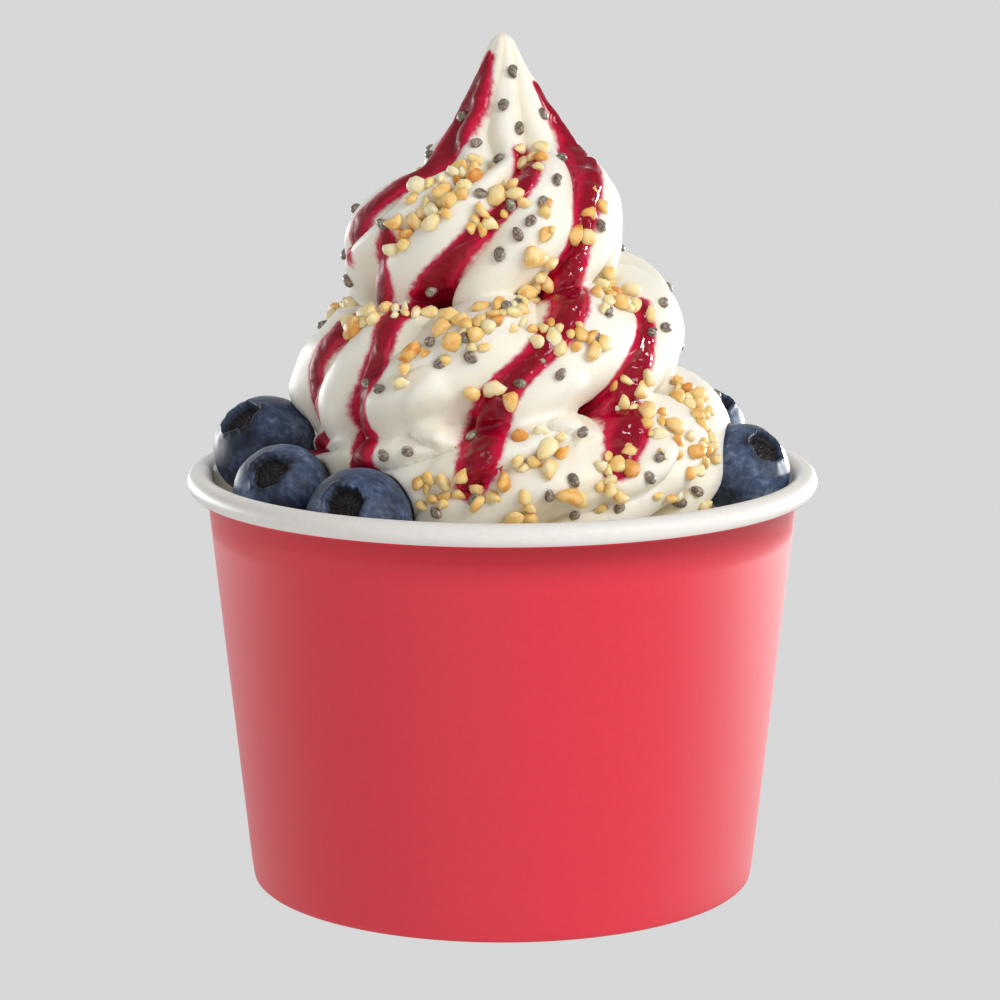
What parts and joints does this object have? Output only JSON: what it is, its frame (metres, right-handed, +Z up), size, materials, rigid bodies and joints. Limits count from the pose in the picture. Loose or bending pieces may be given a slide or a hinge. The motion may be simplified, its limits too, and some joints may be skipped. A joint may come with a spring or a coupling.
{
  "type": "frozen yogurt cup",
  "caption": "Paper cup filled with a tall coiled swirl of frozen yogurt, topped with berry sauce, chopped nuts, chia seeds and loose blueberries.",
  "frame": {"origin": "middle of the cup's foot, on the surface that it stands on", "axes": "+Z up along the cup's axis to the tip of the swirl, +X to the right, -Y to the front, where most of the nuts lie"},
  "size_m": [0.096, 0.096, 0.1296],
  "materials": {
    "coated_board": "red printed paper board with a satin coating",
    "frozen_yogurt": "soft white yogurt with a moist sheen",
    "blueberry_skin": "dark blue skin with a pale bloom"
  },
  "bodies": {
    "root": {"paper_cup": "coated_board", "frozen_yogurt": "frozen_yogurt", "blueberry_1": "blueberry_skin", "blueberry_2": "blueberry_skin", "blueberry_3": "blueberry_skin", "blueberry_4": "blueberry_skin", "blueberry_5": "blueberry_skin"}
  },
  "joints": []
}
